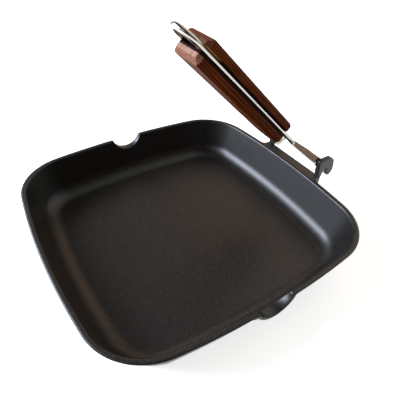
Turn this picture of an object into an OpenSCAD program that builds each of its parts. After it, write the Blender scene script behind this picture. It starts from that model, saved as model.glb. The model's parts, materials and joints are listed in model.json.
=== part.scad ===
// Square cast frying pan with two pouring lips and a folding handle of steel wire and wood.
// Millimetres. Origin at the middle of the flat base, +Z up, +X towards the handle side.

/* [Pan] */
// Width across the rim at the middle of the sides
pan_w = 280; // [240:5:300]
// Total height from base to rim
pan_h = 45; // [38:1:60]
// Thickness of the cooking floor
floor_t = 5; // [3:0.5:8]
// Radius of the rim corners in plan, the sides bow out more as it shrinks
corner_r = 56.3; // [45:0.9:70]
// Width of the flat rim top
rim_w = 4.4; // [3.5:0.1:6]
// Slope of the inner wall from vertical, degrees
wall_slope = 20; // [12:1:24]
// Radius between inner wall and floor
cove_r = 18; // [10:1:20]
// How far the edge of the flat base lies in from the rim edge
base_in = 26.6; // [20:0.1:30]
// Radius between base and outer wall
base_r = 12; // [6:1:14]

/* [Pouring lips] */
// Depth of each lip below the rim
lip_drop = 12; // [6:1:15]
// Width of each lip at rim height
lip_w = 34; // [24:1:44]
// How far the lip stands out past the rim
lip_out = 1.6; // [0.5:0.1:3]
// Thickness of the lip under the channel
lip_t = 2.6; // [2:0.1:4]

/* [Handle bracket] */
// Length of the ledge along the rim
ledge_l = 83; // [78:1:95]
// Outer face of the ledge from the pan centre line
ledge_x = 148; // [147:0.5:149]
// Depth of the ledge below the rim
ledge_t = 8.3; // [6:0.1:10]
// Radius where the ledge runs into the rim
ledge_r = 5; // [3:0.5:8]
// Inner face of each lug from the middle plane
lug_y = 35; // [33:0.1:36]
// Thickness of each lug
lug_t = 5.4; // [5:0.1:7]
// Hinge line from the pan centre
hinge_x = 155; // [154.5:0.1:155.5]
// Hinge line above the rim
hinge_up = 4.8; // [4.4:0.1:5]
// Radius of the hinge pin
pin_r = 3.2; // [2.8:0.1:3.4]

/* [Handle] */
// Angle of the handle from level, 0 is straight out and 180 folded over the pan
handle_angle = 135.6; // [100:1:175]
// Diameter of the steel wire
wire_d = 5; // [4:0.5:6]
// Half the distance between the two wire legs inside the grip
leg_y = 12.5; // [10:0.5:13]
// End of the loop from the hinge line
loop_end = 230.4; // [220:0.2:245]
// Distance from the hinge where the legs start to spread
spread_start = 41.4; // [40:0.2:50]
// Distance from the hinge where the legs are spread fully
spread_end = 14.4; // [14:0.2:20]
// Thickness of the flattened wire ends
flat_t = 2.4; // [2:0.1:3]
// Radius of the eye round the hinge pin
eye_r = 7.4; // [6.6:0.1:8]
// Offset of the wire plane from the hinge line
wire_off = 1; // [0:0.1:2]

/* [Grip] */
// Lower end of the straight grip sides from the hinge line
grip_start = 69.4; // [65:0.2:80]
// Upper end of the grip from the hinge line
grip_end = 208.9; // [190:0.1:212]
// Width of the grip
grip_w = 34.5; // [30:0.5:36]
// Thickness of the half on the pan side
inner_t = 10; // [8:0.1:12]
// Thickness of the half on the far side
outer_t = 8.1; // [7:0.1:12]
// Gap between the two halves
grip_gap = 4.6; // [4:0.1:4.8]
// Chamfer along the outer edges of each half
grip_chamfer = 2.2; // [1:0.1:4]
// Chamfer along the edges beside the gap
gap_chamfer = 1; // [0.5:0.1:1.5]
// Slope at the upper end of each half, along the grip and through its thickness
end_slope = 4; // [2:0.5:6]
// Cut across the upper corners
end_corner = 3.6; // [2:0.2:6]
// How far the lower end is rounded out
grip_nose = 11; // [6:1:14]

/* [Hidden] */
$fn = 96;
eps = 0.01;
fit = 0.05;
half = pan_w / 2;
// each side is a long arc that meets its corner arc on a line of slope 17 in 144, where both run the same way
bow_k = (half - corner_r) / 18;
off_c = -127 * bow_k;
side_r = half - off_c;
corner_c = 17 * bow_k;
// section of the wall, u is measured inwards from the rim edge
cove_z = floor_t + cove_r;
wall_tan = tan(wall_slope);
cove_u = rim_w + (pan_h - cove_z + cove_r * sin(wall_slope)) * wall_tan + cove_r * cos(wall_slope);
start_u = 0.3;
start_z = pan_h - 1.5;
to_arc = sqrt((base_in - start_u) * (base_in - start_u) + (start_z - base_r) * (start_z - base_r));
out_slope = atan2(base_in - start_u, start_z - base_r) - asin(base_r / to_arc);
lip_r = (lip_w * lip_w / 4 + lip_drop * lip_drop) / (2 * lip_drop);
lip_z = pan_h - lip_drop + lip_r;
lip_back = 9;
hinge_z = pan_h + hinge_up;
wire_r = wire_d / 2;
loop_r = leg_y;
eye_in = lug_y - 0.4 - flat_t;
eye_hole = 2.2;
pin_in = 3;
nose_r = (grip_w * grip_w / 4 + grip_nose * grip_nose) / (2 * grip_nose);
nose_c = grip_start - grip_nose + nose_r;
screw_s = [96.4, 184.4];

// points on an arc about (cu, cz), angles from straight down towards the rim
function arc_points(cu, cz, r, from, to, n) =
    [for (i = [0 : n]) let (a = from + (to - from) * i / n) [cu - r * sin(a), cz - r * cos(a)]];

// cross-section of wall and floor at a plan radius r, from the rim in to a given distance from it
module wall_section(r, inner) {
    translate([r, 0]) scale([-1, 1])
        polygon(concat(
            [[inner, 0]],
            arc_points(base_in, base_r, base_r, 0, 90 - out_slope, 8),
            [
                [start_u, start_z],
                [0, pan_h - 1],
                [0.3, pan_h - 0.3],
                [1, pan_h],
                [rim_w - 0.5, pan_h],
                [rim_w, pan_h - 0.5]
            ],
            arc_points(cove_u, cove_z, cove_r, 90 - wall_slope, 0, 12),
            [[inner, floor_t]]
        ));
}

// a square middle, four bowed sides and four corners that share their cut faces
module shell() {
    c = corner_c;
    linear_extrude(floor_t) square(2 * c + 12, center = true);
    for (a = [0 : 90 : 270])
        rotate(a) {
            intersection() {
                translate([off_c, 0, 0]) rotate_extrude($fn = 720) wall_section(side_r, corner_r + 12);
                translate([0, 0, -5])
                    linear_extrude(pan_h + 10)
                        polygon([[c, -c], [c, c], [c + 72, c + 8.5], [c + 72, -c - 8.5]]);
            }
            intersection() {
                translate([c, c, 0]) rotate_extrude($fn = 144) wall_section(corner_r, corner_r);
                translate([c, c, -5])
                    linear_extrude(pan_h + 10) polygon([[0, 0], [72, 8.5], [72, 72], [8.5, 72]]);
            }
        }
}

// rounded pouring lip, built at the +Y side and trimmed along a slope inside the wall
module lip_body() {
    intersection() {
        translate([0, half - lip_back, lip_z])
            rotate([-90, 0, 0])
                cylinder(h = lip_back + lip_out, r1 = lip_r + lip_t + 5.3, r2 = lip_r + lip_t);
        translate([-40, 0, 0])
            rotate([90, 0, 90])
                linear_extrude(80)
                    polygon([
                        [half + 5, pan_h],
                        [half - rim_w + 1, pan_h],
                        [half - rim_w + 1 - 30 * wall_tan, pan_h - 30],
                        [half + 5, pan_h - 30]
                    ]);
    }
}

module lip_cut() {
    translate([0, half - 15, lip_z]) rotate([-90, 0, 0]) cylinder(h = 30, r = lip_r);
}

// outline of a lug with its hook, x and z from the pan centre and the rim
module lug_outline() {
    difference() {
        polygon([
            [145.4, -ledge_t],
            [145.4, 2.5],
            [144.7, 10],
            [144.4, 16.6],
            [144.7, 18.4],
            [145.9, 19.5],
            [148, 19.9],
            [157.6, 20.2],
            [159.6, 20],
            [161.4, 19.3],
            [163, 18.2],
            [164.4, 16.9],
            [165.7, 14.8],
            [166.6, 11],
            [167.3, 6.6],
            [167.4, 3],
            [167.1, 1.2],
            [166.3, -0.5],
            [165, -2],
            [163.4, -3.1],
            [161.9, -3.5],
            [160.7, -3.2],
            [160.1, -2.3],
            [149.8, -2.3],
            [149.5, -ledge_t]
        ]);
        translate([hinge_x, hinge_up]) circle(r = pin_r + fit);
        polygon([
            [149.8, -4],
            [149.9, -2.3],
            [150.7, 1.4],
            [151.8, 4.6],
            [hinge_x, hinge_up],
            [158.1, 4.2],
            [159.2, 2.2],
            [160, -0.4],
            [160.1, -4]
        ]);
    }
}

module bracket() {
    translate([0, ledge_l / 2, pan_h])
        rotate([90, 0, 0])
            linear_extrude(ledge_l)
                polygon([
                    [half - 3.8, 0],
                    [ledge_x, 0],
                    [ledge_x, -ledge_t],
                    [half - 7.5, -ledge_t - 6]
                ]);
    for (m = [0, 1])
        mirror([0, m, 0]) {
            translate([half - 5, ledge_l / 2 - eps, pan_h - ledge_t])
                difference() {
                    cube([3.4 + ledge_r, ledge_r, ledge_t]);
                    translate([3.4 + ledge_r, ledge_r, -1]) cylinder(h = ledge_t + 2, r = ledge_r);
                }
            translate([0, lug_y + lug_t, pan_h])
                rotate([90, 0, 0]) linear_extrude(lug_t) lug_outline();
        }
}

module pan() {
    color("#34322f") difference() {
        union() {
            shell();
            lip_body();
            rotate(180) lip_body();
            bracket();
        }
        lip_cut();
        rotate(180) lip_cut();
    }
}

// puts a piece drawn along +X from the hinge line into the handle's pose
module in_handle() {
    translate([hinge_x, 0, hinge_z]) rotate([0, -handle_angle, 0]) children();
}

// one leg of the wire with its flattened, spread end, on the +Y side
module wire_leg() {
    translate([spread_start - 0.6, leg_y, -wire_off])
        rotate([0, 90, 0]) cylinder(h = loop_end - loop_r - wire_r - spread_start + 0.6, r = wire_r);
    intersection() {
        translate([0, 0, -20])
            linear_extrude(40)
                polygon([
                    [spread_start + 3, leg_y - flat_t / 2],
                    [spread_start + 3, leg_y + flat_t / 2],
                    [spread_start + 0.3, leg_y + flat_t / 2],
                    [spread_end + 0.9, eye_in + flat_t],
                    [-20, eye_in + flat_t],
                    [-20, eye_in],
                    [spread_end - 0.1, eye_in],
                    [spread_start - 0.6, leg_y - flat_t / 2]
                ]);
        translate([0, 60, 0])
            rotate([90, 0, 0])
                linear_extrude(60)
                    difference() {
                        union() {
                            circle(r = eye_r);
                            polygon([
                                [spread_start + 3, 1.4 - wire_off],
                                [spread_start, 2.6 - wire_off],
                                [spread_end + 1, 2.8 - wire_off],
                                [9, 2.5],
                                [6, 3.8],
                                [0, 5],
                                [-2, 0],
                                [2, -eye_r + 0.6],
                                [9, -eye_r + 0.2],
                                [spread_end + 10, -5.8],
                                [spread_start, -2.7 - wire_off],
                                [spread_start + 3, -1.4 - wire_off]
                            ]);
                        }
                        circle(r = eye_hole);
                    }
    }
}

module handle_wire() {
    color("#a8a49f") in_handle() {
        for (m = [0, 1]) mirror([0, m, 0]) wire_leg();
        translate([loop_end - loop_r - wire_r - eps, 0, -wire_off])
            rotate(-90)
                rotate_extrude(angle = 180) translate([loop_r, 0]) circle(r = wire_r, $fn = 48);
    }
}

// outline of a half across the grip, with large chamfers outside and small ones beside the gap
module grip_profile(t) {
    w = grip_w / 2;
    polygon([
        [-w + gap_chamfer, 0],
        [-w, gap_chamfer],
        [-w, t - grip_chamfer],
        [-w + grip_chamfer, t],
        [w - grip_chamfer, t],
        [w, t - grip_chamfer],
        [w, gap_chamfer],
        [w - gap_chamfer, 0]
    ]);
}

// a wooden half of thickness t with its flat face at z = 0 and its outer face up
module grip_half(t) {
    difference() {
        union() {
            intersection() {
                translate([nose_c, 0, 0]) rotate([90, 0, 90]) linear_extrude(grip_end - nose_c) grip_profile(t);
                translate([0, 30, 0])
                    rotate([90, 0, 0])
                        linear_extrude(60)
                            polygon([
                                [nose_c, 0],
                                [grip_end - 0.6, 0],
                                [grip_end, 0.6],
                                [grip_end, t - end_slope],
                                [grip_end - end_slope, t],
                                [nose_c, t]
                            ]);
                linear_extrude(t)
                    polygon([
                        [nose_c, -grip_w / 2],
                        [grip_end - end_corner, -grip_w / 2],
                        [grip_end, -grip_w / 2 + end_corner],
                        [grip_end, grip_w / 2 - end_corner],
                        [grip_end - end_corner, grip_w / 2],
                        [nose_c, grip_w / 2]
                    ]);
            }
            intersection() {
                translate([nose_c, 0, 0])
                    union() {
                        cylinder(h = gap_chamfer, r1 = nose_r - gap_chamfer, r2 = nose_r);
                        translate([0, 0, gap_chamfer]) cylinder(h = t - grip_chamfer - gap_chamfer, r = nose_r);
                        translate([0, 0, t - grip_chamfer])
                            cylinder(h = grip_chamfer, r1 = nose_r, r2 = nose_r - grip_chamfer);
                    }
                translate([nose_c - 60, 0, 0]) rotate([90, 0, 90]) linear_extrude(60 + eps) grip_profile(t);
            }
        }
        for (m = [-1, 1])
            translate([0, m * leg_y, -grip_gap / 2])
                rotate([0, 90, 0]) cylinder(h = 300, r = wire_r + 0.02);
    }
}

module grip_inner() {
    color("#5a3020") in_handle()
        translate([0, 0, grip_gap / 2 - wire_off])
            difference() {
                grip_half(inner_t);
                for (s = screw_s) translate([s, 0, -1]) cylinder(h = 7.6, r = 1.72);
            }
}

module grip_outer() {
    color("#5a3020") in_handle()
        translate([0, 0, -grip_gap / 2 - wire_off])
            mirror([0, 0, 1])
                difference() {
                    grip_half(outer_t);
                    for (s = screw_s) {
                        translate([s, 0, -1]) cylinder(h = 30, r = 1.8);
                        translate([s, 0, outer_t - 2.6]) cylinder(h = 5, r1 = 1.8, r2 = 6.8);
                    }
                }
}

// each pin is riveted into its eye and hangs in the hook of its lug
module hinge_pins() {
    color("#6c6a67")
        for (m = [0, 1])
            mirror([0, m, 0])
                translate([hinge_x, 0, hinge_z])
                    rotate([-90, 0, 0]) {
                        translate([0, 0, eye_in - 1.1]) cylinder(h = 1.1, r1 = 2.4, r2 = 3.4);
                        translate([0, 0, eye_in - eps]) cylinder(h = flat_t + 0.1 + eps, r = eye_hole - 0.02);
                        translate([0, 0, eye_in + flat_t + 0.05])
                            cylinder(h = 0.35 + pin_in, r = pin_r);
                    }
}

module grip_screws() {
    color("#8d8a86") in_handle()
        for (s = screw_s)
            translate([s, 0, grip_gap / 2 - wire_off + 6.4])
                mirror([0, 0, 1]) {
                    cylinder(h = 6.4 + grip_gap + outer_t - 2.4, r = 1.7);
                    translate([0, 0, 6.4 + grip_gap + outer_t - 2.6])
                        difference() {
                            cylinder(h = 2.4, r1 = 1.7, r2 = 4.1);
                            translate([-5, -0.45, 1.3]) cube([10, 0.9, 3]);
                        }
                }
}

pan();
handle_wire();
grip_inner();
grip_outer();
hinge_pins();
grip_screws();
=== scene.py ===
import json
import math

import bpy
from mathutils import Matrix, Vector

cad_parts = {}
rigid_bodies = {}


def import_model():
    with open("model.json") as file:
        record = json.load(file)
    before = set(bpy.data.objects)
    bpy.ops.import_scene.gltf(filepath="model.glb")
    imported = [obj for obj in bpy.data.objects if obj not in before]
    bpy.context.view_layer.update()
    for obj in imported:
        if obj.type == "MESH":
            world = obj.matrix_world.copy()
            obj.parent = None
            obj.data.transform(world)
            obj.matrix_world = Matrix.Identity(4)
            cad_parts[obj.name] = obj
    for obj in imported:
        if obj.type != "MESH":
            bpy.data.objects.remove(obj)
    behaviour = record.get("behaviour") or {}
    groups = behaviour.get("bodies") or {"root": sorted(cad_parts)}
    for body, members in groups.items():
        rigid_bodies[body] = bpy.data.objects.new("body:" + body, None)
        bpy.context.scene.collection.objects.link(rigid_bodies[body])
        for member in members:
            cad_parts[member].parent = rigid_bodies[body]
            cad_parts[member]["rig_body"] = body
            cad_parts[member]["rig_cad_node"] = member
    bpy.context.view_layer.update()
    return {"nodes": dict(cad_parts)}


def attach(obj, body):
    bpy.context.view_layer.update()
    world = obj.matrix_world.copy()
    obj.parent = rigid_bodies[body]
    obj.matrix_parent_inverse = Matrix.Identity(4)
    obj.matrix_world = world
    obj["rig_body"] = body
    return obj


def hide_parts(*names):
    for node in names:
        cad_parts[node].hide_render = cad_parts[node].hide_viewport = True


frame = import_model()
bpy.ops.object.select_all(action="DESELECT")

# ---------------------------------------------------------------- pan
# One aluminium casting: floor, sloped walls, two pouring lips and the ledge that carries two open hooks.
# It is cast in a metal mould, blasted, and sprayed dark with a non-stick coating, so every edge is slightly
# rounded, and the crown of the rim catches the light as a thin line.

# Sizes in mm. In a section of the wall, u runs outwards from the line of the rim, and z up from the hob.
RIM, FLOOR = 45.0, 5.0                      # height of the rim, thickness of the floor
RIM_WIDTH = 4.4
CROWN_OUT, CROWN_IN = 0.36, 0.25            # how far the rim falls from its middle to its outer and inner edge
EDGE_DOWN, EDGE_IN = 1.6, 0.8               # rounding of the rim's outer edge, down the wall and along the rim
BEAD_DOWN, BEAD_IN = 1.7, 0.9               # the same for its inner edge
SIDE_R, SIDE_C = 730.55, -590.55            # a side bulges slightly: its radius, and where its centre lies
CORNER_R, CORNER_C = 56.3, 79.05            # a corner's radius, and its centre along both axes
JOIN = math.degrees(math.atan2(17, 144))    # the direction in which a side runs tangent into its corner
IN_SLOPE, OUT_SLOPE = 20.0, 22.86           # lean of the wall inside and outside, in degrees
CORNER_LEAN = 2.6                           # how much more the outside leans in the middle of a corner
WALL_TOP, WALL_IN = 43.5, 0.3               # height at which the outer wall starts, and how far inside the rim
COVE_R, COVE_U = 18.0, 31.562               # radius between wall and floor, and its centre inside the rim
BASE_R = 12.0                               # radius between wall and underside
BASE_FLAT, BASE_RING, FLOOR_FLAT = 34.0, 31.0, 40.0     # rows of points on the flat underside and the floor
SKIRT_LOW, SKIRT_ROOT = 37.0, 33.0          # rows on the outer wall that the lips and the ledge grow from
LIP_R, LIP_Z = 18.04, 51.04                 # the dip of a pouring lip: its radius, and its centre's height
LIP_T, LIP_OUT = 2.6, 0.3                   # thickness of the collar round it, and how far it stands out
DIP_HALF, DIP_SOFT = 17.95, 1.6             # half the dip's width, and how softly it leaves the rim
COLLAR_HALF, COLLAR_FADE = 21.4, 3.4        # half the collar's width, and the length of its soft end
SWELL_HALF, SWELL_FADE = 22.5, 5.5          # the same for how far it stands out
COLLAR_LOW, COLLAR_ROOT = 42.0, 38.0        # the highest that the collar's lower edge and root may lie
UNDER_EDGE = 0.7                            # rounding of the lower edge of the collar and the ledge
LEDGE_X, LEDGE_T, LEDGE_ROOT = 148.0, 8.3, 6.0      # the ledge's front, its thickness, the root below it
LEDGE_HALF, LEDGE_FADE = 48.5, 2.0          # half its length with the fillets, and where it fades into the wall
FILLET_R, FILLET_X, FILLET_Y = 5.0, 143.4, 46.5     # hollow fillet between the ledge's end and the wall
FRONT_HALF = 41.35                          # half the length of its flat front
LEDGE_NOSE = {41.1: 147.85, 41.38: 147.4, 41.48: 146.6}     # the rounded end of its front, x for a given y


def smooth(x):
    x = min(1.0, max(0.0, x))
    return x * x * (3 - 2 * x)


def soft_min(a, b, k):
    h = min(1.0, max(0.0, 0.5 + 0.5 * (b - a) / k))
    return b * (1 - h) + a * h - k * h * (1 - h)


def rounding(start, corner, end):
    """Five points of the curve that rounds a corner."""
    spots = []
    for i in range(5):
        f = i / 4
        spots.append(tuple((1 - f) ** 2 * p + 2 * f * (1 - f) * q + f * f * r
                           for p, q, r in zip(start, corner, end)))
    return spots


def towards(start, end, reach):
    length = math.hypot(end[0] - start[0], end[1] - start[1])
    return (start[0] + (end[0] - start[0]) * reach / length, start[1] + (end[1] - start[1]) * reach / length)


def between(start, end, count):
    """Points strictly between two points."""
    return [(start[0] + (end[0] - start[0]) * i / (count + 1), start[1] + (end[1] - start[1]) * i / (count + 1))
            for i in range(1, count + 1)]


def outer_wall(z, slope=OUT_SLOPE):
    return -(WALL_IN + (WALL_TOP - z) * math.tan(math.radians(slope)))


def wall_height(u):
    """The height at which the outer wall lies u inside the rim."""
    return WALL_TOP - (u - WALL_IN) / math.tan(math.radians(OUT_SLOPE))


def collar_root(t):
    """Where the underside of a lip's collar meets the wall."""
    low, high = 0.0, 14.0
    for _ in range(40):
        u = 0.5 * (low + high)
        r = LIP_R + LIP_T + 0.5 * (u + LIP_OUT)
        if LIP_Z - math.sqrt(max(0.01, r * r - t * t)) < wall_height(u):
            low = u
        else:
            high = u
    return wall_height(low)


def wall_section(kind, t, reach, slope=OUT_SLOPE):
    """Outline of the wall at one place round the rim, from the middle of the base up and over to the floor.

    t is the distance from the middle of the side, and reach is how far the ledge stands out there.
    """
    share, out, crown = 0.0, 0.0, 1.0
    top, low, root = RIM, SKIRT_LOW, SKIRT_ROOT
    if kind == "lip":
        t = abs(t)
        share = smooth((COLLAR_HALF - t) / COLLAR_FADE)
        out = LIP_OUT * smooth((SWELL_HALF - t) / SWELL_FADE)
        if t < DIP_HALF:
            top = soft_min(RIM, LIP_Z - math.sqrt(LIP_R ** 2 - t * t), DIP_SOFT)
        under = LIP_Z - math.sqrt(max(0.01, (LIP_R + LIP_T) ** 2 - t * t))
        low += (min(under, COLLAR_LOW) - low) * share
        root += (min(collar_root(t), COLLAR_ROOT) - root) * share
    elif kind == "ledge":
        share = smooth((LEDGE_HALF - abs(t)) / LEDGE_FADE)
        out, crown = reach, 1.0 - share
        low += (RIM - LEDGE_T - low) * share
        root += (RIM - LEDGE_T - LEDGE_ROOT - root) * share

    def face(z):
        return share * out + (1 - share) * outer_wall(z, slope)

    lean, tilt = math.radians(slope), math.radians(IN_SLOPE)
    # Underside and the radius up to the wall.
    base_u = WALL_IN + (WALL_TOP - BASE_R) * math.tan(lean) + BASE_R / math.cos(lean)
    points = [(-BASE_FLAT, 0.0), (-BASE_RING, 0.0)]
    for i in range(9):
        a = (math.pi / 2 - lean) * i / 8
        points.append((-base_u + BASE_R * math.sin(a), BASE_R - BASE_R * math.cos(a)))
    # Outer wall, with the rounded lower edge of the collar or the ledge.
    foot, lower = (outer_wall(root, slope), root), (face(low), low)
    points += between(points[-1], foot, 7) + [foot] + between(foot, lower, 1)
    points += rounding(towards(lower, foot, UNDER_EDGE), lower, (face(low + UNDER_EDGE), low + UNDER_EDGE))
    points += between(points[-1], (face(top - EDGE_DOWN), top - EDGE_DOWN), 2)
    # Rim: its outer edge, its crown and its inner edge. The ledge is flat, so there the crown runs out.
    inner = -RIM_WIDTH - math.tan(tilt) * (RIM - top)
    points += rounding((face(top - EDGE_DOWN), top - EDGE_DOWN), (face(top), top - EDGE_IN * crown),
                       (face(top) - EDGE_IN, top - CROWN_OUT * crown))
    middle = crown * 0.5 * (face(top) + inner) - (1 - crown) * 0.5 * RIM_WIDTH
    for f in (0.33, 0.67, 1.0):
        points.append((points[-1][0] + (middle - points[-1][0]) * f, top - CROWN_OUT * crown * (1 - f) ** 2))
    for f in (0.4, 0.8):
        points.append((middle + (inner + BEAD_IN - middle) * f, top - CROWN_IN * f * f))
    points += rounding((inner + BEAD_IN, top - CROWN_IN), (inner - 0.25, top - 0.69),
                       (inner - BEAD_DOWN * math.tan(tilt), top - BEAD_DOWN))
    # Inner wall, the cove and the floor.
    cove = (-COVE_U + COVE_R * math.cos(tilt), FLOOR + COVE_R - COVE_R * math.sin(tilt))
    points += between(points[-1], cove, 8)
    for i in range(15):
        a = math.radians((90 - IN_SLOPE) * (1 - i / 14))
        points.append((-COVE_U + COVE_R * math.sin(a), FLOOR + COVE_R - COVE_R * math.cos(a)))
    return points + [(-BASE_FLAT, FLOOR), (-FLOOR_FLAT, FLOOR)]


def skin(name, rows):
    """A closed skin through rows of points: a circle, extruded once for each further row, with its ends closed."""
    bpy.ops.object.select_all(action="DESELECT")
    bpy.ops.mesh.primitive_circle_add(vertices=len(rows[0]), radius=0.1, fill_type="NOTHING")
    piece = bpy.context.object
    piece.name = name
    bpy.ops.object.mode_set(mode="EDIT")
    bpy.ops.mesh.select_all(action="SELECT")
    for _ in rows[1:]:
        bpy.ops.mesh.extrude_region_move(TRANSFORM_OT_translate={"value": (0.0, 0.0, 0.001)})
    bpy.ops.object.mode_set(mode="OBJECT")
    levels = {}
    for vertex in piece.data.vertices:
        levels.setdefault(round(vertex.co.z * 1000), []).append(vertex)
    for level, ring in levels.items():
        for vertex, place in zip(in_turn(ring), rows[level]):
            vertex.co = place
    bpy.ops.object.mode_set(mode="EDIT")
    bpy.ops.mesh.select_mode(type="EDGE")
    bpy.ops.mesh.select_all(action="DESELECT")
    bpy.ops.mesh.select_non_manifold(extend=False)
    bpy.ops.mesh.edge_face_add()
    bpy.ops.mesh.select_all(action="SELECT")
    bpy.ops.mesh.normals_make_consistent(inside=False)
    bpy.ops.object.mode_set(mode="OBJECT")
    return piece


def in_turn(ring):
    """The points of a circle in the order of their angle."""
    return sorted(ring, key=lambda v: math.atan2(v.co.y, v.co.x) % (2 * math.pi))


def ease_edges(piece, name, width, sharp_from):
    """Rounds the edges that are sharper than an angle in degrees."""
    bevel = piece.modifiers.new(name, "BEVEL")
    bevel.width, bevel.segments, bevel.limit_method = width, 3, "ANGLE"
    bevel.angle_limit = math.radians(sharp_from)
    bpy.ops.object.modifier_apply(modifier=bevel.name)


def shade_evenly(piece, sharp_from):
    """Smooth shading up to an edge angle in degrees, led by the large faces."""
    bpy.ops.object.shade_smooth_by_angle(angle=math.radians(sharp_from))
    weigh = piece.modifiers.new("even shading", "WEIGHTED_NORMAL")
    weigh.keep_sharp = True
    bpy.ops.object.modifier_apply(modifier=weigh.name)


# The section changes round the rim, so the columns stand close together at the lips and the ends of the ledge,
# and the evenly spaced ones keep clear of them.
CORNER_COLUMNS, SIDE_COLUMNS, CLEAR = 39, 34, 1.2
half_side = SIDE_R * math.sin(math.radians(JOIN))
steady = [half_side * (i / SIDE_COLUMNS) for i in range(-SIDE_COLUMNS, SIDE_COLUMNS)]
lip_columns = [0.55 * i for i in range(-44, 45)]
ledge_ends = [40.6, 41.1, 41.38, 41.48, 41.52, 41.6, 41.8, 42.2, 42.7, 43.3, 44.0, 44.8, 45.6, 46.5, 47.1, 47.8,
              48.5]
columns = []
for turn, kind in enumerate(("ledge", "lip", "plain", "lip")):
    extra = {"ledge": ledge_ends + [-e for e in ledge_ends], "lip": lip_columns, "plain": []}[kind]
    span = [abs(e) for e in extra]
    keep = [s for s in steady if not extra or abs(s) < min(span) - CLEAR or abs(s) > max(span) + CLEAR]
    for t in sorted(keep + extra):
        a = math.asin(t / SIDE_R)
        place, inward = (SIDE_C + SIDE_R * math.cos(a), t), (-math.cos(a), -math.sin(a))
        reach = 0.0
        if kind == "ledge" and abs(t) < FILLET_Y:
            front = LEDGE_X
            if abs(t) > FRONT_HALF:
                front = FILLET_X - math.sqrt(max(0.0, FILLET_R ** 2 - (FILLET_Y - abs(t)) ** 2))
            reach = LEDGE_NOSE.get(abs(t), front) - place[0]
        columns.append((turn, place, inward, wall_section(kind, t, max(0.0, reach))))
    for i in range(CORNER_COLUMNS):
        a = math.radians(JOIN + (90 - 2 * JOIN) * i / CORNER_COLUMNS)
        place = (CORNER_C + CORNER_R * math.cos(a), CORNER_C + CORNER_R * math.sin(a))
        slope = OUT_SLOPE + CORNER_LEAN * math.sin(math.pi * i / CORNER_COLUMNS)
        columns.append((turn, place, (-math.cos(a), -math.sin(a)), wall_section("plain", 0.0, 0.0, slope)))

rows = []
for level in range(len(columns[0][3])):
    row = []
    for turn, place, inward, outline in columns:
        u, z = outline[level]
        # What stands out beyond the rim goes straight along x, so that the ledge's front is flat.
        x, y = (place[0] + u, place[1]) if u > 0 else (place[0] - inward[0] * u, place[1] - inward[1] * u)
        for _ in range(turn):
            x, y = -y, x
        row.append((x / 1000, y / 1000, z / 1000))
    rows.append(row)
pan = skin("pan_casting", rows)

# The two hooks: flat lugs with an open slot, cast on the ledge, their outline rounded by the mould. The outline
# is in mm, along x and above the rim, and its corners are cut twice.
HOOK_IN, HOOK_THICK = 0.0350, 0.0054
SLOT_X, SLOT_Z, SLOT_R = 155, 4.8, 3.25
hook = [(145.4, -8.3), (145.4, 2.5), (144.7, 10), (144.4, 16.6), (144.7, 18.4), (145.9, 19.5), (148, 19.9),
        (157.6, 20.2), (159.6, 20), (161.4, 19.3), (163, 18.2), (164.4, 16.9), (165.7, 14.8), (166.6, 11),
        (167.3, 6.6), (167.4, 3), (167.1, 1.2), (166.3, -0.5), (165, -2), (163.4, -3.1), (161.9, -3.5),
        (160.7, -3.2), (160.1, -2.3), (160, -0.4), (159.2, 2.2)]
hook += [(SLOT_X + SLOT_R * math.cos(math.radians(a)), SLOT_Z + SLOT_R * math.sin(math.radians(a)))
         for a in range(-10, 191, 20)]
hook += [(150.7, 1.4), (149.9, -2.3), (149.5, -8.3)]
for _ in range(2):
    cut = [hook[0]]
    for a, b in zip(hook, hook[1:]):
        cut += [(0.75 * a[0] + 0.25 * b[0], 0.75 * a[1] + 0.25 * b[1]),
                (0.25 * a[0] + 0.75 * b[0], 0.25 * a[1] + 0.75 * b[1])]
    hook = cut + [hook[-1]]
lugs = []
for side in (-1, 1):
    bpy.ops.object.select_all(action="DESELECT")
    bpy.ops.mesh.primitive_circle_add(vertices=len(hook), radius=0.01, fill_type="NOTHING")
    lug = bpy.context.object
    for vertex, (x, z) in zip(in_turn(lug.data.vertices), hook):
        vertex.co = (x / 1000, side * HOOK_IN, (z + RIM) / 1000)
    bpy.ops.object.mode_set(mode="EDIT")
    bpy.ops.mesh.select_all(action="SELECT")
    bpy.ops.mesh.edge_face_add()
    bpy.ops.mesh.extrude_region_move(TRANSFORM_OT_translate={"value": (0.0, side * HOOK_THICK, 0.0)})
    bpy.ops.mesh.select_all(action="SELECT")
    bpy.ops.mesh.normals_make_consistent(inside=False)
    bpy.ops.object.mode_set(mode="OBJECT")
    ease_edges(lug, "rounded edges", 0.0006, 50)
    lugs.append(lug)
bpy.ops.object.select_all(action="DESELECT")
for part in lugs + [pan]:
    part.select_set(True)
bpy.context.view_layer.objects.active = pan
bpy.ops.object.join()
bpy.ops.object.transform_apply(location=True, rotation=True, scale=True)
shade_evenly(pan, 50)


def linear(code):
    """An sRGB hex colour as the linear values that Blender takes."""
    parts = [int(code[i:i + 2], 16) / 255 for i in (1, 3, 5)]
    return [p / 12.92 if p <= 0.04045 else ((p + 0.055) / 1.055) ** 2.4 for p in parts] + [1.0]


def add_node(tree, kind, settings=None, inputs=None, links=None, stops=()):
    """Adds a node, sets what it is told, links its inputs to other nodes' outputs, and colours its ramp."""
    made = tree.nodes.new(kind)
    for name, value in (settings or {}).items():
        setattr(made, name, value)
    for name, value in (inputs or {}).items():
        made.inputs[name].default_value = value
    for name, output in (links or {}).items():
        tree.links.new(output, made.inputs[name])
    if stops:
        elements = made.color_ramp.elements
        while len(elements) < len(stops):
            elements.new(0.5)
        for element, (place, code) in zip(elements, stops):
            element.position, element.color = place, linear(code)
    return made


def new_material(name):
    material = bpy.data.materials.new(name)
    material.use_nodes = True
    tree = material.node_tree
    return material, tree, tree.nodes["Principled BSDF"]


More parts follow.
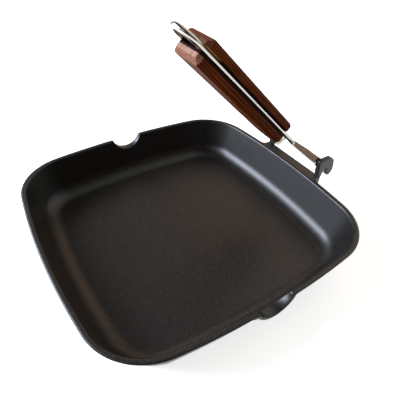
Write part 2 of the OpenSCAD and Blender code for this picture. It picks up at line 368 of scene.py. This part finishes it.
def finish_in(piece, material):
    piece.data.materials.clear()
    piece.data.materials.append(material)


# Sprayed non-stick coating on blasted aluminium: near black with a faint warm fleck, satin. The fleck of the
# real one is 0.1 to 0.3 mm and is drawn at about 1 mm so that it shows.
coating, tree, shader = new_material("non-stick coating on cast aluminium")
coords = add_node(tree, "ShaderNodeTexCoord")
fleck = add_node(tree, "ShaderNodeTexVoronoi", inputs={"Scale": 1000.0, "Randomness": 1.0},
                 links={"Vector": coords.outputs["Object"]})
fleck_tone = add_node(tree, "ShaderNodeValToRGB", links={"Fac": fleck.outputs["Color"]},
                      stops=[(0.0, "#080706"), (0.66, "#0e0d0c"), (1.0, "#2f2b27")])
grit = add_node(tree, "ShaderNodeTexNoise", inputs={"Scale": 900.0, "Detail": 2.0, "Roughness": 0.55},
                links={"Vector": coords.outputs["Object"]})
grain = add_node(tree, "ShaderNodeBump", inputs={"Strength": 0.12, "Distance": 0.0003},
                 links={"Height": grit.outputs["Fac"]})
tree.links.new(fleck_tone.outputs["Color"], shader.inputs["Base Color"])
tree.links.new(grain.outputs["Normal"], shader.inputs["Normal"])
shader.inputs["Roughness"].default_value = 0.4
shader.inputs["IOR"].default_value = 1.5
finish_in(pan, coating)
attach(pan, "pan_body")
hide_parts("pan")

# ---------------------------------------------------------------- wire
# One length of 5 mm steel rod bent into a loop, its two ends spread apart, pressed flat in a die and punched
# for the hinge pins. It is polished and plated, and its haze differs a little from place to place.

# Sizes in mm, in the handle's own directions: s from the hinge line along the handle, y across, z over it.
HINGE_X, HINGE_Z, FOLD = 155.0, 49.8, math.radians(135.6)       # the hinge line, and the handle's lean at rest
ROD_HALF, ROD_ROUND = 2.5, 2.0              # half the rod's thickness, and the power of its round section
FLAT_HALF, FLAT_SQUARE = 1.2, 5.0           # the same for the pressed ends, squarer
EYE_Y, EYE_R, BORE_R = 33.4, 7.4, 2.2       # the eye: its distance from the middle, its radius and its hole's
LEG_Y, LEG_Z = 12.5, -1.0                   # the legs' distance from the middle, and their height
SPREAD_S, SPREAD_LENGTH = 14.9, 27.0        # where the ends run together, and over what length
LEG_S, LEG_LENGTH, LOOP_S = 51.0, 164.4, 215.4      # where the legs run straight, and where the loop starts
TIP_S, TIP_HALF = -7.3, 0.25                # the first station, and half its height, which keeps the tip open
AROUND = 32                                 # points round the rod


def posed(s, y, z):
    """A place on the handle, in mm, as a place in the frame."""
    return Vector(((HINGE_X + s * math.cos(FOLD) - z * math.sin(FOLD)) / 1000, y / 1000,
                   (HINGE_Z + s * math.sin(FOLD) + z * math.cos(FOLD)) / 1000))


def blend(x, table):
    """Smooth interpolation in a table of place and value."""
    if x <= table[0][0]:
        return table[0][1]
    for (a, va), (b, vb) in zip(table, table[1:]):
        if x <= b:
            return va + (vb - va) * smooth((x - a) / (b - a))
    return table[-1][1]


def eye_edge(s):
    """Half the height of the round eye, s along the handle."""
    return math.sqrt(max(0.0, EYE_R ** 2 - s * s)) if s < EYE_R else 0.0


# Stations along the rod: s, y, z, half its thickness across, half its height, and the power of its section.
# First the round of the eye, then the pressed end up to the leg, between an upper and a lower edge given as
# heights at places along it, with its plan smoothed where it bends.
stations = []
for i in range(13):
    s = TIP_S * math.cos(math.radians(i * 90 / 12))
    stations.append((s, EYE_Y, 0.0, FLAT_HALF, eye_edge(s), FLAT_SQUARE))
for i in range(44):
    s = 1.0 + i * 1.1
    upper = max(blend(s, [(0, 7.4), (9, 2.6), (16, 1.9), (42, 1.6), (46, 1.5)]), eye_edge(s))
    lower = min(-blend(s, [(0, 7.4), (9, 7.1), (24.4, 5.8), (41.4, 3.9), (46, 3.5)]), -eye_edge(s))
    y = EYE_Y - (EYE_Y - LEG_Y) * min(1.0, max(0.0, (s - SPREAD_S) / SPREAD_LENGTH))
    stations.append((s, y, 0.5 * (upper + lower), blend(s, [(40, FLAT_HALF), (47, ROD_HALF)]),
                     0.5 * (upper - lower), blend(s, [(38, FLAT_SQUARE), (46, ROD_ROUND)])))
for _ in range(3):
    plan = [station[1] for station in stations]
    for i in range(14, len(stations) - 1):
        y = 0.25 * plan[i - 1] + 0.5 * plan[i] + 0.25 * plan[i + 1]
        stations[i] = (stations[i][0], y) + stations[i][2:]
# Then the straight leg and half of the loop, and the same back on the other side.
for i in range(12):
    stations.append((LEG_S + LEG_LENGTH * (i + 1) / 12, LEG_Y, LEG_Z, ROD_HALF, ROD_HALF, ROD_ROUND))
for i in range(1, 19):
    a = math.radians(i * 5)
    stations.append((LOOP_S + LEG_Y * math.sin(a), LEG_Y * math.cos(a), LEG_Z, ROD_HALF, ROD_HALF, ROD_ROUND))
stations += [(s, -y, z, across, tall, power) for s, y, z, across, tall, power in reversed(stations[:-1])]

rows = []
for number, (s, y, z, thick, tall, power) in enumerate(stations):
    before, after = stations[max(0, number - 1)], stations[min(len(stations) - 1, number + 1)]
    along = Vector((after[0] - before[0], after[1] - before[1])).normalized()
    row = []
    for i in range(AROUND):
        a = 2 * math.pi * i / AROUND
        ca, sa = math.cos(a), math.sin(a)
        across = thick * math.copysign(abs(ca) ** (2 / power), ca)
        up = max(tall, TIP_HALF) * math.copysign(abs(sa) ** (2 / power), sa)
        row.append(posed(s + along.y * across, y - along.x * across, z + up))
    rows.append(row)
wire = skin("wire_frame", rows)

bpy.ops.object.select_all(action="DESELECT")
bpy.ops.mesh.primitive_cylinder_add(vertices=48, radius=BORE_R / 1000, depth=0.09, location=posed(0, 0, 0),
                                    rotation=(math.radians(90), 0, 0))
punch = bpy.context.object
bpy.ops.object.select_all(action="DESELECT")
wire.select_set(True)
bpy.context.view_layer.objects.active = wire
bore = wire.modifiers.new("punched holes", "BOOLEAN")
bore.operation, bore.object, bore.solver = "DIFFERENCE", punch, "EXACT"
bpy.ops.object.modifier_apply(modifier=bore.name)
bpy.data.objects.remove(punch)
bpy.ops.object.transform_apply(location=True, rotation=True, scale=True)
shade_evenly(wire, 50)

# Polished and plated rod: bright, slightly warm, with a faint haze in patches of about 5 mm.
steel, tree, shader = new_material("polished plated steel rod")
coords = add_node(tree, "ShaderNodeTexCoord")
haze = add_node(tree, "ShaderNodeTexNoise", inputs={"Scale": 220.0, "Detail": 3.0},
                links={"Vector": coords.outputs["Object"]})
dull = add_node(tree, "ShaderNodeMapRange",
                inputs={"From Min": 0.3, "From Max": 0.7, "To Min": 0.16, "To Max": 0.26},
                links={"Value": haze.outputs["Fac"]})
tree.links.new(dull.outputs["Result"], shader.inputs["Roughness"])
shader.inputs["Metallic"].default_value = 1.0
shader.inputs["Base Color"].default_value = linear("#c4bfb7")
finish_in(wire, steel)
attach(wire, "handle")
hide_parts("handle_wire")

# ---------------------------------------------------------------- hinge pins and grip screws
# Turned steel pins riveted into the punched ends, and two slotted zinc plated screws that pull the halves of
# the grip together on the wire. Both stay as the solids are and get their metal here. The marks on the pins,
# about 1 mm, and the clouds in the plating, about 2 mm, are drawn coarser than the real ones.
for node, name, scale, detail, dark, light, roughness in (
        ("hinge_pins", "turned mild steel", 900.0, 2.0, "#8a847b", "#a59e93", 0.34),
        ("grip_screws", "zinc plated screw steel", 500.0, 3.0, "#a7a49c", "#c4c2bb", 0.3)):
    metal, tree, shader = new_material(name)
    coords = add_node(tree, "ShaderNodeTexCoord")
    marks = add_node(tree, "ShaderNodeTexNoise", inputs={"Scale": scale, "Detail": detail},
                     links={"Vector": coords.outputs["Object"]})
    tone = add_node(tree, "ShaderNodeValToRGB", links={"Fac": marks.outputs["Fac"]},
                    stops=[(0.3, dark), (0.7, light)])
    tree.links.new(tone.outputs["Color"], shader.inputs["Base Color"])
    shader.inputs["Metallic"].default_value = 1.0
    shader.inputs["Roughness"].default_value = roughness
    finish_in(frame["nodes"][node], metal)

# ---------------------------------------------------------------- grip
# Two halves of a red-brown hardwood, sawn with bevelled edges, grooved for the wire, stained and oiled.
# The stain takes lightly on the end grain. The edges beside the wire carry painted shade, and near the loop those
# of the outer half carry a painted highlight in pale yellow instead.
MIX_A, MIX_B, MIX_COLOUR = 6, 7, 2          # the colour sockets of a Mix node
wood, tree, shader = new_material("stained and oiled hardwood")
coords = add_node(tree, "ShaderNodeTexCoord")
# The handle's own directions at rest: x along the wood from the hinge line, z through its thickness.
local = add_node(tree, "ShaderNodeMapping", settings={"vector_type": "TEXTURE"},
                 inputs={"Location": (HINGE_X / 1000, 0.0, HINGE_Z / 1000), "Rotation": (0.0, -FOLD, 0.0)},
                 links={"Vector": coords.outputs["Object"]})

# Year rings about 2 mm apart, drawn out eleven times along the wood and bent a little, dark where each ends.
drawn = add_node(tree, "ShaderNodeMapping",
                 inputs={"Location": (0.0, 0.004, -0.021), "Scale": (0.09, 1.0, 1.0),
                         "Rotation": (0.0, math.radians(-4.5), math.radians(2.5))},
                 links={"Vector": local.outputs["Vector"]})
sway = add_node(tree, "ShaderNodeTexNoise", inputs={"Scale": 45.0, "Detail": 2.0, "Roughness": 0.5},
                links={"Vector": drawn.outputs["Vector"]})
sway_off = add_node(tree, "ShaderNodeVectorMath", settings={"operation": "SUBTRACT"},
                    inputs={1: (0.5, 0.5, 0.5)}, links={0: sway.outputs["Color"]})
sway_size = add_node(tree, "ShaderNodeVectorMath", settings={"operation": "SCALE"}, inputs={"Scale": 0.006},
                     links={0: sway_off.outputs[0]})
bent = add_node(tree, "ShaderNodeVectorMath", settings={"operation": "ADD"},
                links={0: drawn.outputs["Vector"], 1: sway_size.outputs[0]})
year_rings = add_node(tree, "ShaderNodeTexWave",
                      settings={"wave_type": "RINGS", "rings_direction": "X", "wave_profile": "SAW"},
                      inputs={"Scale": 170.0, "Distortion": 7.0, "Detail": 3.0, "Detail Scale": 0.8},
                      links={"Vector": bent.outputs[0]})
figure = add_node(tree, "ShaderNodeValToRGB", links={"Fac": year_rings.outputs["Fac"]},
                  stops=[(0.0, "#3a1204"), (0.14, "#5a260c"), (0.45, "#783c18"), (0.8, "#6a3010"),
                         (1.0, "#401404")])

# Pores: fine dark streaks along the wood, about 1 mm wide and so coarser than the real ones, to show.
fibres = add_node(tree, "ShaderNodeMapping", inputs={"Scale": (0.05, 1.0, 1.0)},
                  links={"Vector": local.outputs["Vector"]})
pores = add_node(tree, "ShaderNodeTexNoise", inputs={"Scale": 900.0, "Detail": 3.0, "Roughness": 0.6},
                 links={"Vector": fibres.outputs["Vector"]})
pore_dark = add_node(tree, "ShaderNodeMapRange",
                     inputs={"From Min": 0.38, "From Max": 0.56, "To Min": 0.5, "To Max": 1.1},
                     links={"Value": pores.outputs["Fac"]})
stained = add_node(tree, "ShaderNodeMix", settings={"data_type": "RGBA", "blend_type": "MULTIPLY"},
                   inputs={0: 1.0},
                   links={MIX_A: figure.outputs["Color"], MIX_B: pore_dark.outputs["Result"]})

# End grain, paler: the faces that look along the wood at its free end, weaker on the outer half.
along = add_node(tree, "ShaderNodeVectorMath", settings={"operation": "DOT_PRODUCT"},
                 inputs={1: (math.cos(FOLD), 0.0, math.sin(FOLD))}, links={0: coords.outputs["Normal"]})
end_grain = add_node(tree, "ShaderNodeMapRange", inputs={"From Min": 0.5, "From Max": 0.98},
                     links={"Value": along.outputs["Value"]})
spot = add_node(tree, "ShaderNodeSeparateXYZ", links={"Vector": local.outputs["Vector"]})
by_half = add_node(tree, "ShaderNodeMapRange",
                   inputs={"From Min": -0.002, "From Max": 0.0, "To Min": 0.35, "To Max": 1.0},
                   links={"Value": spot.outputs["Z"]})
end_share = add_node(tree, "ShaderNodeMath", settings={"operation": "MULTIPLY"},
                     links={0: end_grain.outputs["Result"], 1: by_half.outputs["Result"]})
saw_marks = add_node(tree, "ShaderNodeMapping", inputs={"Scale": (1.0, 1.0, 0.15)},
                     links={"Vector": local.outputs["Vector"]})
saw_noise = add_node(tree, "ShaderNodeTexNoise", inputs={"Scale": 700.0, "Detail": 2.0},
                     links={"Vector": saw_marks.outputs["Vector"]})
end_tone = add_node(tree, "ShaderNodeValToRGB", links={"Fac": saw_noise.outputs["Fac"]},
                    stops=[(0.3, "#74503f"), (0.5, "#9a7563"), (0.7, "#b08f7e")])
ends_toned = add_node(tree, "ShaderNodeMix", settings={"data_type": "RGBA"},
                      links={0: end_share.outputs[0], MIX_A: stained.outputs[MIX_COLOUR],
                             MIX_B: end_tone.outputs["Color"]})

# Painted shade beside the wire, whose middle lies 1 mm to the outer side: dark for 3 mm on the outer half and 4.5
# mm on the other. On the outer half from 188 mm on, a painted highlight in pale yellow takes its place.
from_middle = add_node(tree, "ShaderNodeMath", settings={"operation": "ADD"}, inputs={1: 0.001},
                       links={0: spot.outputs["Z"]})
from_wire = add_node(tree, "ShaderNodeMath", settings={"operation": "ABSOLUTE"},
                     links={0: from_middle.outputs[0]})
painted_shade_width = add_node(tree, "ShaderNodeMapRange",
                inputs={"From Min": -0.002, "From Max": 0.0, "To Min": 0.003, "To Max": 0.0045},
                links={"Value": spot.outputs["Z"]})
in_painted_shade = add_node(tree, "ShaderNodeMath", settings={"operation": "LESS_THAN"},
                   links={0: from_wire.outputs[0], 1: painted_shade_width.outputs["Result"]})
# Where the painted highlight takes the place of the painted shade: on the outer half near the loop.
near_loop = add_node(tree, "ShaderNodeMapRange", inputs={"From Min": 0.188, "From Max": 0.196},
                     links={"Value": spot.outputs["X"]})
outer_half = add_node(tree, "ShaderNodeMath", settings={"operation": "LESS_THAN"}, inputs={1: -0.001},
                      links={0: spot.outputs["Z"]})
painted_highlight_share = add_node(tree, "ShaderNodeMath", settings={"operation": "MULTIPLY"},
                links={0: near_loop.outputs["Result"], 1: outer_half.outputs[0]})
# The painted shade is near black, and the painted highlight pale yellow.
painted_shade_and_highlight = add_node(tree, "ShaderNodeMix", settings={"data_type": "RGBA"},
                     inputs={MIX_A: linear("#1c0b04"), MIX_B: linear("#b07f48")}, links={0: painted_highlight_share.outputs[0]})
# The painted shade and highlight cover the wood's colour beside the wire.
toned = add_node(tree, "ShaderNodeMix", settings={"data_type": "RGBA"},
                 links={0: in_painted_shade.outputs[0], MIX_A: ends_toned.outputs[MIX_COLOUR],
                        MIX_B: painted_shade_and_highlight.outputs[MIX_COLOUR]})
relief = add_node(tree, "ShaderNodeBump", inputs={"Strength": 0.2, "Distance": 0.0003},
                  links={"Height": pores.outputs["Fac"]})
tree.links.new(toned.outputs[MIX_COLOUR], shader.inputs["Base Color"])
tree.links.new(relief.outputs["Normal"], shader.inputs["Normal"])
shader.inputs["Roughness"].default_value = 0.55
shader.inputs["Specular IOR Level"].default_value = 0.03

# Each half is a copy of its solid, its loose triangles merged back into faces, with sanded edges.
for name, piece_name in (("grip_inner", "grip_half_inner"), ("grip_outer", "grip_half_outer")):
    bpy.ops.object.select_all(action="DESELECT")
    grip = frame["nodes"][name].copy()
    grip.data = grip.data.copy()
    grip.name = piece_name
    bpy.context.scene.collection.objects.link(grip)
    grip.parent = None
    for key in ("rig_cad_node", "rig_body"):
        if key in grip:
            del grip[key]
    bpy.context.view_layer.objects.active = grip
    grip.select_set(True)
    bpy.ops.object.mode_set(mode="EDIT")
    bpy.ops.mesh.select_all(action="SELECT")
    bpy.ops.mesh.remove_doubles(threshold=0.00001)
    bpy.ops.mesh.dissolve_limited(angle_limit=math.radians(0.5))
    bpy.ops.object.mode_set(mode="OBJECT")
    ease_edges(grip, "eased edges", 0.0007, 25)
    shade_evenly(grip, 40)
    finish_in(grip, wood)
    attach(grip, "handle")
    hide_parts(name)

# ---------------------------------------------------------------- floor, light and camera
# A matt white sheet as floor and backdrop. A large cool window light stands behind the pan on the left, with a
# weak one at the height of its sill and a weak one from the room, so that the dark coating shows its slopes by
# what it reflects.
bpy.ops.object.select_all(action="DESELECT")
bpy.ops.mesh.primitive_plane_add(size=8.0, location=(0.0, 0.0, -0.0002))
floor = bpy.context.object
floor.name = "floor"
paper, tree, shader = new_material("white paper sheet")
rays = add_node(tree, "ShaderNodeLightPath")
seen = add_node(tree, "ShaderNodeMath", settings={"operation": "MAXIMUM"},
                links={0: rays.outputs["Is Camera Ray"], 1: rays.outputs["Is Glossy Ray"]})
lit = add_node(tree, "ShaderNodeMath", settings={"operation": "MULTIPLY"}, inputs={1: 0.75},
               links={0: seen.outputs[0]})
tree.links.new(lit.outputs[0], shader.inputs["Emission Strength"])
shader.inputs["Emission Color"].default_value = linear("#ffffff")
shader.inputs["Base Color"].default_value = linear("#e7e7e7")
shader.inputs["Roughness"].default_value = 1.0
shader.inputs["Specular IOR Level"].default_value = 0.0
finish_in(floor, paper)

# The room that the pan reflects is dark, with three lighter parts: the warm glow of a wall high on the right,
# a pale wall low at the back and a small tan one at the front. The last row is the side on which it is warm.
world = bpy.data.worlds.new("studio")
bpy.context.scene.world = world
world.use_nodes = True
tree = world.node_tree
backdrop = tree.nodes["Background"]
rays = add_node(tree, "ShaderNodeLightPath")
seen = add_node(tree, "ShaderNodeMath", settings={"operation": "MAXIMUM"},
                links={0: rays.outputs["Is Camera Ray"], 1: rays.outputs["Is Transmission Ray"]})
sky = add_node(tree, "ShaderNodeTexCoord")
lighter = {}
for name, direction, start, end, dark, light in (
        ("glow", (0.8, 0.1, 0.6), 0.56, 1.0, 0.02, 1.35),
        ("pale wall", (0.2, 0.95, 0.24), 0.86, 0.98, 0.0, 1.0),
        ("tan wall", (-0.09, -0.9, 0.42), 0.92, 0.99, 0.0, 0.32),
        ("warm side", (0.6, 0.62, 0.5), 0.8, 1.0, 0.0, 1.0)):
    facing = add_node(tree, "ShaderNodeVectorMath", settings={"operation": "DOT_PRODUCT"},
                      inputs={1: direction}, links={0: sky.outputs["Generated"]})
    shape = add_node(tree, "ShaderNodeMapRange", settings={"interpolation_type": "SMOOTHSTEP"},
                     inputs={"From Min": start, "From Max": end, "To Min": dark, "To Max": light},
                     links={"Value": facing.outputs["Value"]})
    lighter[name] = shape.outputs["Result"]
both = add_node(tree, "ShaderNodeMath", settings={"operation": "ADD"},
                links={0: lighter["glow"], 1: lighter["pale wall"]})
total = add_node(tree, "ShaderNodeMath", settings={"operation": "ADD"},
                 links={0: both.outputs[0], 1: lighter["tan wall"]})
level = add_node(tree, "ShaderNodeMix", settings={"data_type": "FLOAT"}, inputs={3: 1.0},
                 links={0: seen.outputs[0], 2: total.outputs[0]})
warm = add_node(tree, "ShaderNodeMath", settings={"operation": "MULTIPLY_ADD"}, inputs={1: 3.0},
                links={0: lighter["tan wall"], 2: lighter["warm side"]})
warmth = add_node(tree, "ShaderNodeMix", settings={"data_type": "RGBA"},
                  inputs={MIX_A: linear("#f1f2ec"), MIX_B: linear("#ffd6b8")}, links={0: warm.outputs[0]})
tint = add_node(tree, "ShaderNodeMix", settings={"data_type": "RGBA"}, inputs={MIX_B: linear("#ffffff")},
                links={0: seen.outputs[0], MIX_A: warmth.outputs[MIX_COLOUR]})
tree.links.new(tint.outputs[MIX_COLOUR], backdrop.inputs["Color"])
tree.links.new(level.outputs[0], backdrop.inputs["Strength"])


def softbox(name, size, power, place, aim, colour):
    lamp = bpy.data.lights.new(name, "AREA")
    lamp.shape = "RECTANGLE"
    lamp.size, lamp.size_y = size
    lamp.energy = power
    lamp.color = linear(colour)[:3]
    stand = bpy.data.objects.new(name, lamp)
    bpy.context.scene.collection.objects.link(stand)
    stand.location = place
    stand.rotation_euler = (Vector(aim) - Vector(place)).to_track_quat("-Z", "Y").to_euler()


softbox("window softbox", (1.4, 0.65), 76.0, (-1.25, 0.97, 0.92), (0.05, 0.0, 0.0), "#e6eeff")
softbox("window sill softbox", (1.1, 0.5), 2.5, (-1.2, 1.1, 0.34), (0.05, 0.0, 0.1), "#e6eeff")
softbox("room softbox", (0.6, 0.6), 1.2, (-1.1, -0.35, 0.95), (0.0, 0.0, 0.0), "#fff6ec")

# The camera stands where the fit to the rim, the floor and the handle puts it, rolled by 2.43 degrees.
lens = bpy.data.cameras.new("camera")
lens.sensor_width = 36.0
lens.lens = 33.86
lens.clip_start = 0.01
camera = bpy.data.objects.new("camera", lens)
bpy.context.scene.collection.objects.link(camera)
eye, aim = Vector((-0.14483, -0.24108, 0.29058)), Vector((0.0143, -0.0074, 0.045))
roll = Matrix.Rotation(math.radians(2.43), 4, "Z")
looking = (aim - eye).normalized().to_track_quat("-Z", "Y").to_matrix().to_4x4()
camera.matrix_world = Matrix.Translation(eye) @ (looking @ roll)
bpy.context.scene.camera = camera
bpy.context.scene.view_settings.view_transform = "Standard"
